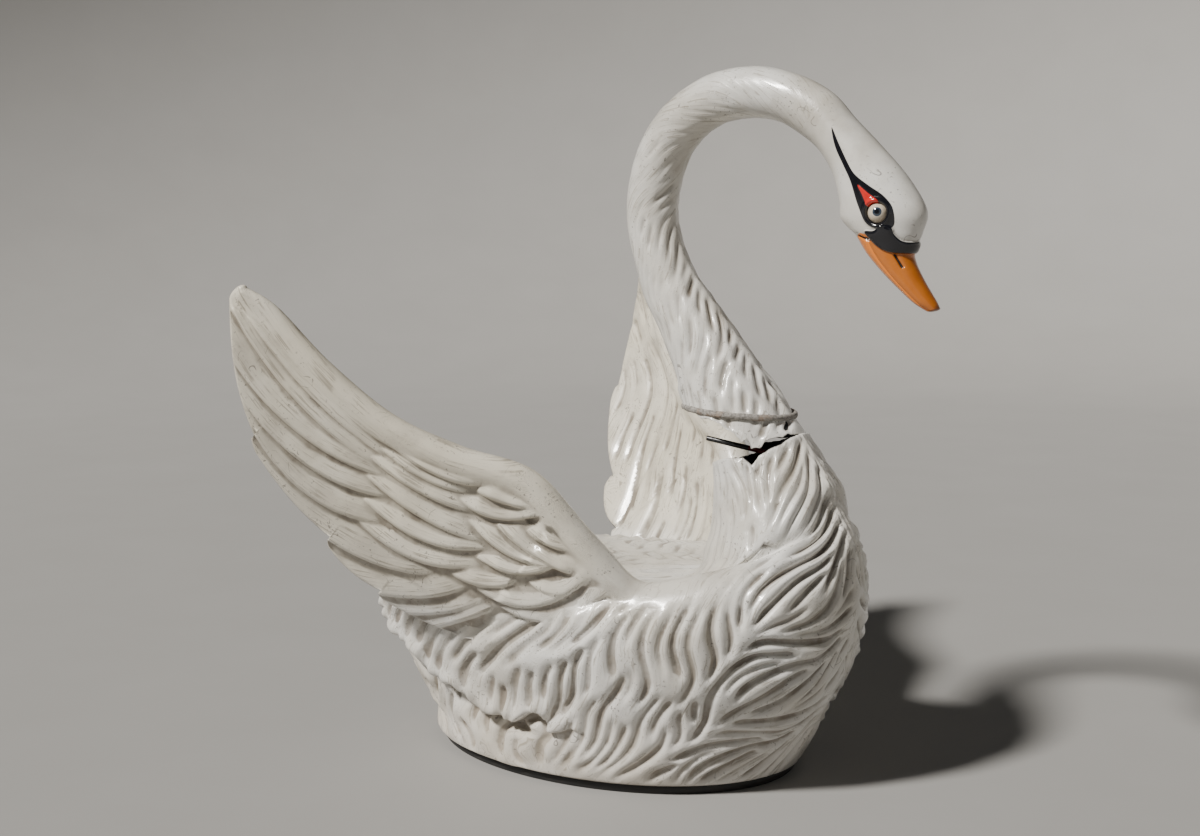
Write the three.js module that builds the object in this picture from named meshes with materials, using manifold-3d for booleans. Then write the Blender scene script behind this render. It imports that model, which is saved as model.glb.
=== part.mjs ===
// A large moulded swan with raised wings and an arched neck, broken at the foot of the neck.
// Millimetres. +X is the way the swan faces, +Z is up, +Y is its left side.
// The origin is the middle of the base board's underside.
import * as THREE from 'three';
import Module from 'manifold-3d';

const wasm = await Module();
wasm.setup();

// Driving dimensions
const BOARD_THICKNESS = 22;
const BOARD_INSET = 9;
const FIT_GAP = 0.4;
const FOOT = BOARD_THICKNESS + FIT_GAP;
const BREAK_WALL = 45;
const NECK_HOLLOW = 0.52;
const LOCK_DEPTH = 9;
const BODY_COLUMNS = 70;
const NECK_COLUMNS = 22;
const BREAK_DIP = 46;
const SHOULDER_X = 290;
const SHOULDER_Y = 318;
const WING_SPLAY = THREE.MathUtils.degToRad(35);
const WING_CUP = 7.3e-4;
const WING_ROOT_HEIGHT = 482;
const WING_RISE = 0.768;
const BOLSTER_AT_ROOT = 46;
const BOLSTER_AT_WRIST = 43;
const BOLSTER_AT_TIP = 17;
const WING_HALF_THICKNESS = 15;
const TRAILING_HALF_THICKNESS = 8;
const NOTCH = 24;
const QUILL_DEPTH = 5;
const BEAD_RADIUS = 9;
const EYE_RADIUS = 24;
const EYE_AT = [773, 55, 1385];
const TUBE_RADIUS = 6.5;
const TUBE_FROM = [318, -62, 832];
const TUBE_TO = [534, -14, 792];

// Rings of the body from its foot up the flank, over the rim, across the back and up to the neck's
// stump: middle, reach forward, reach back, half width, height in front, height behind, how late the
// front rises, how far the flank flares towards the wing
const BODY_RINGS = [
  [0, 508, 510, 366, FOOT, FOOT, 1, 0],
  [15, 530, 527, 384, 82, 80, 1, 0],
  [40, 564, 604, 392, 180, 176, 1, 22],
  [70, 594, 682, 420, 300, 288, 1, 62],
  [92, 600, 712, 430, 428, 388, 1.6, 98],
  [95, 596, 690, 402, 545, 444, 2.5, 98],
  [130, 548, 630, 335, 615, 462, 2.5, 60],
  [330, 328, 470, 240, 655, 456, 2.5, 0],
  [480, 158, 240, 204, 695, 484, 1.5, 0],
  [498, 132, 192, 172, 735, 562, 1, 0],
  [483, 120, 160, 150, 775, 655, 1, 0],
  [430, 120, 106, 127, 851, 768, 1, 0],
];
const FLARE_ANGLE = THREE.MathUtils.degToRad(132);
const FLARE_SPREAD = THREE.MathUtils.degToRad(27);

// Sections of the neck, head and bill, all across the middle plane: middle x and z, half depth as an
// x and z step towards the nape, crown and ridge of the bill, half width, lock depth
const NECK_SECTIONS = [
  [390, 880, -158, 29, 124, 5],
  [340, 952, -126, -9, 111, 5],
  [293, 1020, -82, -52, 98, 5],
  [238, 1108, -70, -47, 84, 5],
  [160, 1232, -63, -34, 72, 4],
  [118, 1375, -67, -3, 66, 4],
  [134, 1500, -64, 22, 66, 3],
  [190, 1600, -47, 47, 65, 2],
  [290, 1668, -21, 61, 63, 1],
  [405, 1686, 3, 64, 62, 1],
  [505, 1668, 23, 57, 61, 1],
  [582, 1628, 41, 48, 60, 0],
  [642, 1573, 44, 37, 61, 0],
  [694, 1510, 57, 35, 64, 0],
  [737, 1440, 84, 28, 69, 0],
  [761, 1384, 106, 8, 68, 0],
  [766, 1346, 91, -6, 61, 0],
  [766, 1316, 72, -20, 52, 0],
  [783, 1279, 60, -13, 48, 0],
  [812, 1239, 50, -10, 44, 0],
  [841, 1206, 38, -4, 38, 0],
  [867, 1179, 26, 2, 31, 0],
  [886, 1163, 15, 4, 21, 0],
];
// The bead round the neck lies in a plane through these points of the nape and the throat
const BEAD_NAPE = [206, 911];
const BEAD_THROAT = [516, 892];

// The wing's leading edge and the tips of its feathers, as steps out along the wing and heights
const LEADING_EDGE = [[-40, 468], [119, 640], [248, 779], [420, 838], [580, 912], [730, 1036], [852, 1165], [931, 1221]];
const FEATHER_TIPS = [[40, 352], [430, 340], [658, 431], [778, 572], [946, 834], [966, 1196]];
const TIP_PLACES = [0, 0.2, 0.36, 0.5, 0.72, 1];
const TIP_STEPS = [4, 3, 4, 6, 8];
const TRAILING_BOW = 14;

const lerp = THREE.MathUtils.lerp;
const clamp01 = (v) => THREE.MathUtils.clamp(v, 0, 1);
const smooth = (v) => THREE.MathUtils.smoothstep(v, 0, 1);
// A number between -1 and 1 that jumps about from one whole number to the next
const ragged = (k) => {
  const v = Math.sin(k * 12.9898 + 4.1) * 43758.5453;
  return 2 * (v - Math.floor(v)) - 1;
};

// Values between the rows of a table, along a smooth curve through them
function along(rows, t) {
  const last = rows.length - 1;
  const place = THREE.MathUtils.clamp(t, 0, 1) * last;
  const i = Math.min(Math.floor(place), last - 1);
  const f = place - i;
  const a = rows[Math.max(i - 1, 0)];
  const b = rows[i];
  const c = rows[i + 1];
  const d = rows[Math.min(i + 2, last)];
  return b.map((v, k) => 0.5 * (2 * v + (c[k] - a[k]) * f + (2 * a[k] - 5 * v + 4 * c[k] - d[k]) * f * f
    + (3 * v - a[k] - 3 * c[k] + d[k]) * f * f * f));
}

// A closed body through a row of closed loops, with a flat fan over each end
function skin(loops) {
  const positions = [];
  const index = [];
  const count = loops[0].length;
  loops.forEach((loop) => loop.forEach((p) => positions.push(p.x, p.y, p.z)));
  for (let i = 0; i < loops.length - 1; i++) {
    for (let j = 0; j < count; j++) {
      const k = (j + 1) % count;
      const a = i * count + j;
      const b = i * count + k;
      const c = (i + 1) * count + k;
      const d = (i + 1) * count + j;
      index.push(a, b, c, a, c, d);
    }
  }
  [0, loops.length - 1].forEach((i, end) => {
    const middle = new THREE.Vector3();
    loops[i].forEach((p) => middle.addScaledVector(p, 1 / count));
    const hub = positions.length / 3;
    positions.push(middle.x, middle.y, middle.z);
    for (let j = 0; j < count; j++) {
      const k = (j + 1) % count;
      const pair = [i * count + j, i * count + k];
      index.push(hub, pair[end ? 0 : 1], pair[end ? 1 : 0]);
    }
  });
  return toSolid(positions, index);
}

// A ring-shaped body: a closed row of loops
function ring(loops) {
  const positions = [];
  const index = [];
  const count = loops[0].length;
  loops.forEach((loop) => loop.forEach((p) => positions.push(p.x, p.y, p.z)));
  for (let i = 0; i < loops.length; i++) {
    const n = (i + 1) % loops.length;
    for (let j = 0; j < count; j++) {
      const k = (j + 1) % count;
      index.push(i * count + j, i * count + k, n * count + k, i * count + j, n * count + k, n * count + j);
    }
  }
  return toSolid(positions, index);
}

// A solid whose faces look outwards, whichever way round its triangles were listed
function toSolid(positions, index) {
  const vertProperties = new Float32Array(positions);
  const solid = new wasm.Manifold(new wasm.Mesh({ numProp: 3, vertProperties, triVerts: new Uint32Array(index) }));
  if (solid.volume() > 0) return solid;
  const turned = new Uint32Array(index);
  for (let t = 0; t < turned.length; t += 3) [turned[t], turned[t + 1]] = [turned[t + 1], turned[t]];
  return new wasm.Manifold(new wasm.Mesh({ numProp: 3, vertProperties, triVerts: turned }));
}

function fromGeometry(geometry, place) {
  const g = geometry.clone();
  if (place) g.applyMatrix4(place);
  const seen = new Map();
  const positions = [];
  const number = [];
  const p = g.attributes.position;
  for (let i = 0; i < p.count; i++) {
    const key = [p.getX(i), p.getY(i), p.getZ(i)].map((v) => Math.round(v * 1e4)).join(' ');
    if (!seen.has(key)) {
      seen.set(key, positions.length / 3);
      positions.push(p.getX(i), p.getY(i), p.getZ(i));
    }
    number.push(seen.get(key));
  }
  const index = [];
  const order = g.index ? Array.from(g.index.array) : number.map((v, i) => i);
  for (let t = 0; t < order.length; t += 3) {
    const [a, b, c] = [number[order[t]], number[order[t + 1]], number[order[t + 2]]];
    if (a !== b && b !== c && c !== a) index.push(a, b, c);
  }
  return toSolid(positions, index);
}

function toGeometry(solid) {
  const mesh = solid.getMesh();
  const g = new THREE.BufferGeometry();
  g.setAttribute('position', new THREE.BufferAttribute(new Float32Array(mesh.vertProperties), 3));
  g.setIndex(new THREE.BufferAttribute(new Uint32Array(mesh.triVerts), 1));
  g.computeVertexNormals();
  return g;
}

// Body
function bodyPoint(t, angle, grow = 0) {
  const [mid, fore, aft, half, front, behind, late, flare] = along(BODY_RINGS, t);
  const c = Math.cos(angle);
  const s = Math.sin(angle);
  let turn = Math.abs(Math.atan2(s, c));
  const bulge = flare * Math.exp(-(((turn - FLARE_ANGLE) / FLARE_SPREAD) ** 2));
  const reach = (c > 0 ? fore : aft) + grow;
  const rise = Math.pow(0.5 * (1 + c), late);
  const out = new THREE.Vector2(reach * c, (half + grow) * s);
  const length = out.length();
  out.multiplyScalar((length + bulge) / length);
  return new THREE.Vector3(mid + out.x, out.y, behind + (front - behind) * rise);
}

// Plumage runs down and back in waves from the breast's middle line
function lockTurn(t, angle) {
  const upto = clamp01(1 - t / 0.62);
  const sweep = 0.34 * upto * Math.sin(angle) * (1 + 0.6 * Math.cos(angle));
  return angle + sweep + 0.035 * Math.sin(angle) * Math.sin(30 * t + 1.5 * Math.cos(angle));
}

const BODY_PLACES = [0, 0.025, 0.06, 0.1, 0.145, 0.19, 0.235, 0.28, 0.325, 0.37, 0.415, 0.46, 0.51, 0.57, 0.64, 0.71,
  0.77, 0.83, 0.89, 0.95, 1];

function bodyLoops() {
  return BODY_PLACES.map((t, row) => {
    const loop = [];
    for (let j = 0; j < BODY_COLUMNS; j++) {
      const base = (2 * Math.PI * j) / BODY_COLUMNS;
      const turn = lockTurn(t, base);
      const back = smooth((Math.abs(Math.atan2(Math.sin(turn), Math.cos(turn))) - 1.1) / 0.5);
      const flank = smooth(t / 0.05) * (1 - back * smooth((t - 0.4) / 0.08)) * (1 - smooth((t - 0.93) / 0.07));
      const depth = LOCK_DEPTH * flank * (j % 2 ? -1 : 1) * (t > 0.6 ? 0.6 : 1);
      const p = bodyPoint(t, turn, depth);
      if (row === BODY_PLACES.length - 1) {
        const open = smooth(Math.abs(Math.atan2(Math.sin(turn), Math.cos(turn))) / 0.7);
        p.z -= 0.8 + open * (8 + 7 * (1 + ragged(j)));
      }
      loop.push(p);
    }
    return loop;
  });
}

function stumpHollow() {
  const loops = [];
  for (let i = 0; i <= 4; i++) {
    const t = lerp(0.92, 1, i / 3);
    const loop = [];
    for (let j = 0; j < 20; j++) {
      const p = bodyPoint(Math.min(t, 1), (2 * Math.PI * j) / 20, -BREAK_WALL);
      if (i === 4) p.add(new THREE.Vector3(-30, 0, 60));
      loop.push(p);
    }
    loops.push(loop);
  }
  return skin(loops);
}

// Wings
function wingPoint(out, height, proud, side) {
  const below = Math.max(0, WING_ROOT_HEIGHT + WING_RISE * out - height);
  const n = proud - WING_CUP * below * below;
  return new THREE.Vector3(
    SHOULDER_X - out * Math.cos(WING_SPLAY) + n * Math.sin(WING_SPLAY),
    side * (SHOULDER_Y + out * Math.sin(WING_SPLAY) + n * Math.cos(WING_SPLAY)),
    height,
  );
}

// Stations along the wing: a place on the leading edge and one on the scalloped trailing edge
function wingStations() {
  const stations = [];
  TIP_STEPS.forEach((steps, k) => {
    for (let i = 0; i <= steps; i++) {
      if (i === 0 && k > 0 && k < 2) continue;
      const f = i / steps;
      const a = FEATHER_TIPS[k];
      const b = FEATHER_TIPS[k + 1];
      const place = lerp(TIP_PLACES[k], TIP_PLACES[k + 1], f) + (i === 0 && k > 1 ? 0.006 : 0);
      const lead = along(LEADING_EDGE, place);
      const edge = new THREE.Vector2(lerp(a[0], b[0], f), lerp(a[1], b[1], f));
      const side = new THREE.Vector2(b[1] - a[1], a[0] - b[0]).normalize();
      edge.addScaledVector(side, TRAILING_BOW * Math.sin(Math.PI * f));
      const notch = new THREE.Vector2(lead[0] - edge.x, lead[1] - edge.y).normalize();
      notch.multiplyScalar(k > 1 ? NOTCH * Math.pow(1 - f, 3) : 0);
      stations.push({ place, lead, edge, notch });
    }
  });
  return stations;
}

const CHORD_PLACES = [0.008, 0.045, 0.1, 0.18, 0.28, 0.4, 0.52, 0.64, 0.76, 0.88, 1];

function wing(side) {
  const loops = wingStations().map(({ place, lead, edge, notch }) => {
    const chord = Math.hypot(edge.x - lead[0], edge.y - lead[1]);
    const nose = Math.min(chord * 0.3, place < 0.3
      ? lerp(BOLSTER_AT_ROOT, BOLSTER_AT_WRIST, place / 0.3)
      : lerp(BOLSTER_AT_WRIST, BOLSTER_AT_TIP, smooth((place - 0.3) / 0.7)));
    const plate = Math.min(WING_HALF_THICKNESS, nose * 0.6);
    const half = (c) => {
      const x = c * chord;
      if (x < nose) return Math.sqrt(Math.max(0, nose * nose - (nose - x) ** 2));
      const past = lerp(nose, plate, smooth((x - nose) / (1.6 * nose)));
      return Math.min(past, lerp(plate, TRAILING_HALF_THICKNESS, c) + past - plate);
    };
    const point = (c, sign, quill) => {
      const outer = smooth((c - 0.7) / 0.3);
      const u = lerp(lead[0], edge.x, c) + notch.x * outer;
      const w = lerp(lead[1], edge.y, c) + notch.y * outer;
      return wingPoint(u, w, sign * half(c) + quill, side);
    };
    const loop = [];
    const fade = smooth((1 - place) / 0.1);
    CHORD_PLACES.forEach((c, j) => {
      const q = j > 4 && j < CHORD_PLACES.length - 1 ? QUILL_DEPTH * fade * (j % 2 ? 1 : -1) : 0;
      loop.push(point(c, 1, q));
    });
    [...CHORD_PLACES].reverse().forEach((c, j) => {
      const k = CHORD_PLACES.length - 1 - j;
      const q = k > 4 && k < CHORD_PLACES.length - 1 ? 0.6 * QUILL_DEPTH * fade * (k % 2 ? -1 : 1) : 0;
      loop.push(point(c, -1, q));
    });
    return loop;
  });
  return skin(loops);
}

// Neck, head and bill
function neckPoint(t, angle, grow = 0) {
  const [x, z, ex, ez, half] = along(NECK_SECTIONS, t);
  const depth = Math.hypot(ex, ez);
  const k = (depth + grow) / depth;
  return new THREE.Vector3(x + k * ex * Math.cos(angle), (half + grow) * Math.sin(angle), z + k * ez * Math.cos(angle));
}

function neckLoops() {
  const loops = [];
  const rows = 40;
  for (let i = 0; i <= rows; i++) {
    const t = i / rows;
    const depth = along(NECK_SECTIONS, t)[5] * smooth(t / 0.03);
    const loop = [];
    for (let j = 0; j < NECK_COLUMNS; j++) {
      const base = (2 * Math.PI * j) / NECK_COLUMNS;
      const turn = base - 0.28 * Math.sin(base) * Math.sin(38 * t);
      const p = neckPoint(t, turn, depth * (j % 2 ? -1 : 1));
      p.z -= BREAK_DIP * Math.sin(turn) ** 2 * (1 - smooth(t / 0.05));
      if (i === 0) p.z += 0.8 + smooth(Math.abs(base - Math.PI) / 0.5) * (3 + 5 * (1 + ragged(j + 40)));
      loop.push(p);
    }
    loops.push(loop);
  }
  return loops;
}

function neckHollow() {
  const loops = [];
  for (let i = 0; i <= 3; i++) {
    const loop = [];
    for (let j = 0; j < 16; j++) {
      const t = lerp(0, 0.06, Math.max(0, i - 1) / 2);
      const [x, z] = along(NECK_SECTIONS, t);
      const p = neckPoint(t, (2 * Math.PI * j) / 16).lerp(new THREE.Vector3(x, 0, z), 1 - NECK_HOLLOW);
      if (i === 0) p.add(new THREE.Vector3(30, 0, -75));
      loop.push(p);
    }
    loops.push(loop);
  }
  return skin(loops);
}

// Places where the bead's plane meets the neck
function beadPath(count) {
  const slope = (BEAD_NAPE[1] - BEAD_THROAT[1]) / (BEAD_NAPE[0] - BEAD_THROAT[0]);
  const path = [];
  for (let j = 0; j < count; j++) {
    const angle = (2 * Math.PI * j) / count;
    let low = 0;
    let high = 0.2;
    for (let n = 0; n < 40; n++) {
      const t = 0.5 * (low + high);
      const p = neckPoint(t, angle);
      if (p.z - BEAD_THROAT[1] - slope * (p.x - BEAD_THROAT[0]) > 0) high = t;
      else low = t;
    }
    path.push(neckPoint(0.5 * (low + high), angle));
  }
  return path;
}

function beadRing(radius) {
  const path = beadPath(24);
  const middle = new THREE.Vector3();
  path.forEach((p) => middle.addScaledVector(p, 1 / path.length));
  return ring(path.map((p, i) => {
    const ahead = path[(i + 1) % path.length].clone().sub(path[(i + path.length - 1) % path.length]).normalize();
    const out = p.clone().sub(middle);
    out.addScaledVector(ahead, -out.dot(ahead)).normalize();
    const up = new THREE.Vector3().crossVectors(ahead, out);
    const loop = [];
    for (let k = 0; k < 6; k++) {
      const a = (2 * Math.PI * k) / 6;
      loop.push(p.clone().addScaledVector(out, radius * Math.cos(a) - 1).addScaledVector(up, -radius * Math.sin(a)));
    }
    return loop;
  }));
}

function rod(radius, from, to) {
  const a = new THREE.Vector3(...from);
  const b = new THREE.Vector3(...to);
  const turn = new THREE.Quaternion().setFromUnitVectors(new THREE.Vector3(0, 1, 0), b.clone().sub(a).normalize());
  const place = new THREE.Matrix4().compose(a.clone().add(b).multiplyScalar(0.5), turn, new THREE.Vector3(1, 1, 1));
  return fromGeometry(new THREE.CylinderGeometry(radius, radius, a.distanceTo(b), 16), place);
}

function ball(radius, side) {
  const place = new THREE.Matrix4().makeTranslation(EYE_AT[0], side * EYE_AT[1], EYE_AT[2]);
  return fromGeometry(new THREE.SphereGeometry(radius, 14, 8), place);
}

// Base board
function boardSolid() {
  const outline = new THREE.Shape();
  const count = 48;
  for (let j = 0; j < count; j++) {
    const p = bodyPoint(0, (2 * Math.PI * j) / count, -BOARD_INSET);
    if (j === 0) outline.moveTo(p.x, p.y);
    else outline.lineTo(p.x, p.y);
  }
  outline.closePath();
  return new THREE.ExtrudeGeometry(outline, { depth: BOARD_THICKNESS, bevelEnabled: false, steps: 1 });
}

const object = new THREE.Group();
function addPiece(name, solid, colour, roughness, metalness) {
  const geometry = solid.isBufferGeometry ? solid : toGeometry(solid);
  const mesh = new THREE.Mesh(geometry, new THREE.MeshStandardMaterial({ color: colour, roughness, metalness }));
  mesh.name = name;
  object.add(mesh);
  return mesh;
}

const tubeSeat = rod(TUBE_RADIUS + FIT_GAP, TUBE_FROM, [TUBE_TO[0] + 4, TUBE_TO[1], TUBE_TO[2]]);
const body = skin(bodyLoops()).add(wing(-1)).add(wing(1)).subtract(stumpHollow()).subtract(tubeSeat);
const neck = skin(neckLoops()).subtract(neckHollow()).subtract(beadRing(BEAD_RADIUS + FIT_GAP))
  .subtract(ball(EYE_RADIUS + FIT_GAP, -1)).subtract(ball(EYE_RADIUS + FIT_GAP, 1));

addPiece('body_with_wings', body, 0xe6e0d2, 0.35, 0);
addPiece('neck_and_head', neck, 0xe8e3d8, 0.35, 0);
addPiece('neck_joint_bead', beadRing(BEAD_RADIUS), 0x86817b, 0.9, 0);
addPiece('armature_tube', rod(TUBE_RADIUS, TUBE_FROM, TUBE_TO), 0x1c1b1c, 0.45, 0.8);
addPiece('right_eye', ball(EYE_RADIUS, -1), 0xcbb9a2, 0.15, 0);
addPiece('left_eye', ball(EYE_RADIUS, 1), 0xcbb9a2, 0.15, 0);
addPiece('base_board', boardSolid(), 0x141312, 0.7, 0);

export default object;
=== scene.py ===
import math
import bpy
import numpy as np
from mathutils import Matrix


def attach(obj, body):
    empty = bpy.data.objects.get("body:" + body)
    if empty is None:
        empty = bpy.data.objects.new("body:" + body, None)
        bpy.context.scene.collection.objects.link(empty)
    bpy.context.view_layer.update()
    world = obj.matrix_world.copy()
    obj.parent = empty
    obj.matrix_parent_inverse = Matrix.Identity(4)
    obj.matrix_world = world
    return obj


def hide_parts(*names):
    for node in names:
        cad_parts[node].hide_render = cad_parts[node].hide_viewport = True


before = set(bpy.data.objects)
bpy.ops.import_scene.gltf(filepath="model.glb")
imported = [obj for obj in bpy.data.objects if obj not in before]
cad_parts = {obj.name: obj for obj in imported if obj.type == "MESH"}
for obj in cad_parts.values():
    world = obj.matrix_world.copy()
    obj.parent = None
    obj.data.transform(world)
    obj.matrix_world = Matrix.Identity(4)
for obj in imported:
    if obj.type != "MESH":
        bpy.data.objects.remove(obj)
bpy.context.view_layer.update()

# Sizes in millimetres, +X the way the swan faces, +Z up
MM = 0.001
FOOT = 22.4
BOARD_INSET = 9
SHELL = 11
DEEPEST_IN_SHELL = 7
SHOULDER_X = 290
SHOULDER_Y = 318
WING_SPLAY = math.radians(35)
WING_CUP = 7.3e-4
WING_ROOT_HEIGHT = 482
WING_RISE = 0.768
BOLSTER_AT_ROOT = 46
BOLSTER_AT_WRIST = 43
BOLSTER_AT_TIP = 17
WING_HALF_THICKNESS = 15
TRAILING_HALF_THICKNESS = 8
NOTCH = 24
TRAILING_BOW = 8
BREAK_DIP = 46
TORN_ROWS = 24
# The near side's torn edge: turn from the breast, and drop below the ring
BREAK_LINE = [
    (0, 0.8), (0.33, 4), (0.55, 12), (0.8, 15), (1.03, 26),
    (1.17, 42), (1.35, 17), (1.57, 10), (2, 1), (3.15, 1),
]
BEAD_NAPE = (206, 911)
BEAD_THROAT = (516, 892)
BEAD_RADIUS = 9
EYE_RADIUS = 24
EYE_AT = (773, 55, 1385)
BILL_TIP = (896, 0, 1154)
TUBE_RADIUS = 6.5
TUBE_FROM = (318, -62, 832)
TUBE_TO = (534, -14, 792)
# The tube's open end: steps along it, and shares of its radius
TUBE_END = [(14, 0), (14, 0.62), (0.6, 0.68), (0, 0.8), (0.3, 0.94), (1.4, 1), (60, 1), (130, 1), (200, 1)]
# The board's edge: shares that the outline is drawn in, and heights
BOARD_EDGE = [(1, 0), (0.004, 0), (0, 1.5), (0, 20.5), (0.004, 22), (1, 22)]
FLARE_ANGLE = math.radians(132)
FLARE_SPREAD = math.radians(27)
BAND_AT_WRIST = 78
BAND_AT_TIP = 58
WING_ROOT = (322, 312, 522)
WING_ROOT_EASE = 105
MOST_TRIANGLES = 196000
FLOOR_REACH = 9000
BACKDROP_BEND = 5000

# Body rings: middle, reach forward, reach back, half width, height in front, height behind,
# how late the front rises, flare of the flank towards the wing
BODY_RINGS = [
    (0, 508, 510, 366, FOOT, FOOT, 1, 0),
    (15, 530, 527, 384, 82, 80, 1, 0),
    (40, 564, 604, 392, 180, 176, 1, 22),
    (70, 594, 682, 420, 300, 288, 1, 62),
    (92, 600, 712, 430, 428, 388, 1.6, 98),
    (95, 596, 690, 402, 545, 444, 2.5, 98),
    (130, 548, 630, 335, 615, 462, 2.5, 60),
    (330, 328, 470, 240, 655, 456, 2.5, 0),
    (480, 158, 240, 204, 695, 484, 1.5, 0),
    (498, 132, 192, 172, 735, 562, 1, 0),
    (483, 120, 160, 150, 775, 655, 1, 0),
    (430, 120, 106, 127, 851, 768, 1, 0),
]
# Neck sections: middle x and z, step from the middle to the nape, half width, depth of the strokes
NECK_SECTIONS = [
    (390, 880, -158, 29, 124, 12),
    (340, 952, -126, -9, 111, 12),
    (293, 1020, -82, -52, 98, 11),
    (238, 1108, -70, -47, 84, 10),
    (160, 1232, -63, -34, 72, 8),
    (118, 1375, -67, -3, 66, 6),
    (134, 1500, -64, 22, 66, 4.5),
    (190, 1600, -47, 47, 65, 3),
    (290, 1668, -21, 61, 63, 2),
    (405, 1686, 3, 64, 62, 1.3),
    (505, 1668, 23, 57, 61, 0.8),
    (582, 1628, 41, 48, 60, 0.3),
    (642, 1573, 44, 37, 61, 0),
    (694, 1510, 57, 35, 64, 0),
    (737, 1440, 84, 28, 69, 0),
    (761, 1384, 106, 8, 68, 0),
    (766, 1346, 91, -6, 61, 0),
    (766, 1316, 72, -20, 52, 0),
    (783, 1279, 60, -13, 48, 0),
    (812, 1239, 50, -10, 44, 0),
    (841, 1206, 38, -4, 38, 0),
    (867, 1179, 26, 2, 31, 0),
    (886, 1163, 15, 4, 21, 0),
]
# Wing outline as steps out along the wing and heights
LEADING_EDGE = [
    (-40, 468), (119, 640), (248, 779), (420, 838),
    (580, 912), (730, 1036), (852, 1165), (924, 1211),
]
FEATHER_TIPS = [(40, 352), (430, 340), (658, 431), (778, 572), (946, 834), (966, 1180)]
TIP_PLACES = [0, 0.2, 0.36, 0.5, 0.72, 1]

# Feathers of the wing's outer face: tip, root, sag of the lower edge, width, layer from the quills up
WING_FEATHERS = [
    (949, 1177, 572, 780, 31, 80, 0),
    (960, 1150, 580, 748, 39, 70, 0),
    (965, 1032, 566, 741, 51, 80, 0),
    (938, 919, 568, 698, 51, 80, 0),
    (917, 831, 585, 634, 58, 85, 0),
    (771, 581, 440, 515, 33, 130, 0),
    (660, 435, 391, 489, 20, 110, 0),
    (623, 384, 350, 461, 21, 60, 0),
    (567, 322, 329, 436, 0, 60, 0),
    (592, 842, 325, 738, 31, 70, 1),
    (620, 835, 369, 717, 26, 45, 1),
    (648, 813, 363, 666, 23, 62, 1),
    (657, 766, 333, 591, 29, 74, 1),
    (665, 704, 329, 589, 51, 66, 1),
    (691, 651, 358, 542, 52, 66, 1),
    (468, 525, 258, 519, 33, 62, 1),
    (435, 716, 243, 673, 31, 55, 2),
    (408, 662, 206, 545, 28, 62, 2),
    (392, 571, 206, 545, 29, 52, 2),
    (275, 518, 124, 536, 49, 62, 2),
    (398, 488, 162, 487, 44, 58, 2),
    (339, 443, 121, 452, 39, 56, 2),
    (259, 396, 121, 449, 40, 56, 2),
    (390, 734, 264, 693, 10, 42, 3),
    (346, 658, 206, 549, 10, 50, 3),
    (277, 645, 162, 594, 16, 46, 3),
]

# Painted face, seen from the side
EYE_MASK = [
    (654, 1588), (666, 1540), (688, 1496), (708, 1458), (726, 1406), (746, 1364), (776, 1348),
    (812, 1354), (812, 1394), (790, 1424), (754, 1449), (720, 1474), (701, 1500), (674, 1550),
]
RED_PATCH = [(727, 1451), (738, 1430), (754, 1399), (768, 1403), (779, 1412), (755, 1430)]
BLACK_LORE = [
    (741, 1343), (766, 1345), (783, 1358), (806, 1352), (812, 1336), (828, 1320),
    (858, 1318), (868, 1307), (856, 1295), (824, 1291), (789, 1297), (761, 1316),
]
ORANGE_BILL = [
    (708, 1330), (726, 1339), (745, 1330), (765, 1312), (790, 1298), (824, 1292),
    (858, 1296), (905, 1290), (990, 1190), (940, 1100), (850, 1100), (680, 1300),
]
NOSTRIL = ((809, 1288), (826, 1261))
MOUTH_CORNER = ((716, 1332), (748, 1321))


def smooth(v):
    v = np.clip(v, 0, 1)
    return v * v * (3 - 2 * v)


def mix(a, b, f):
    return a + (b - a) * f


def along(rows, t):
    """Rows of numbers joined by a smooth curve, at places from 0 to 1."""
    rows = np.asarray(rows, float)
    last = len(rows) - 1
    place = np.clip(t, 0, 1) * last
    i = np.minimum(place.astype(int), last - 1)
    f = (place - i)[..., None]
    a = rows[np.maximum(i - 1, 0)]
    b = rows[i]
    c = rows[i + 1]
    d = rows[np.minimum(i + 2, last)]
    bend = 2 * a - 5 * b + 4 * c - d
    twist = 3 * b - a - 3 * c + d
    return 0.5 * (2 * b + (c - a) * f + bend * f**2 + twist * f**3)


def dice(row, column, seed):
    """A number between 0 and 1 that jumps from place to place."""
    v = np.sin(row * 127.1 + column * 311.7 + seed * 74.7) * 43758.5453
    return v - np.floor(v)


def ripple(v, seed):
    """A smooth wandering number between 0 and 1."""
    i = np.floor(v)
    return mix(dice(i, 0, seed), dice(i + 1, 0, seed), smooth(v - i))


def loft(name, points, marks=None):
    """A skin over closed rows of points, in millimetres, shaped from a flat grid."""
    rows, columns = points.shape[:2]
    bpy.ops.object.select_all(action="DESELECT")
    bpy.ops.mesh.primitive_grid_add(x_subdivisions=columns, y_subdivisions=rows - 1, size=2)
    piece = bpy.context.object
    piece.name = name
    wrapped = np.concatenate([points, points[:, :1]], axis=1)
    piece.data.vertices.foreach_set("co", (wrapped * MM).ravel())
    for mark, values in (marks or {}).items():
        layer = piece.data.attributes.new(mark, "FLOAT", "POINT")
        layer.data.foreach_set("value", np.concatenate([values, values[:, :1]], axis=1).ravel())
    bpy.ops.object.mode_set(mode="EDIT")
    bpy.ops.mesh.select_all(action="SELECT")
    bpy.ops.mesh.remove_doubles(threshold=0.00003)
    bpy.ops.mesh.normals_make_consistent(inside=False)
    bpy.ops.object.mode_set(mode="OBJECT")
    bpy.ops.object.shade_smooth()
    return piece


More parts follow.
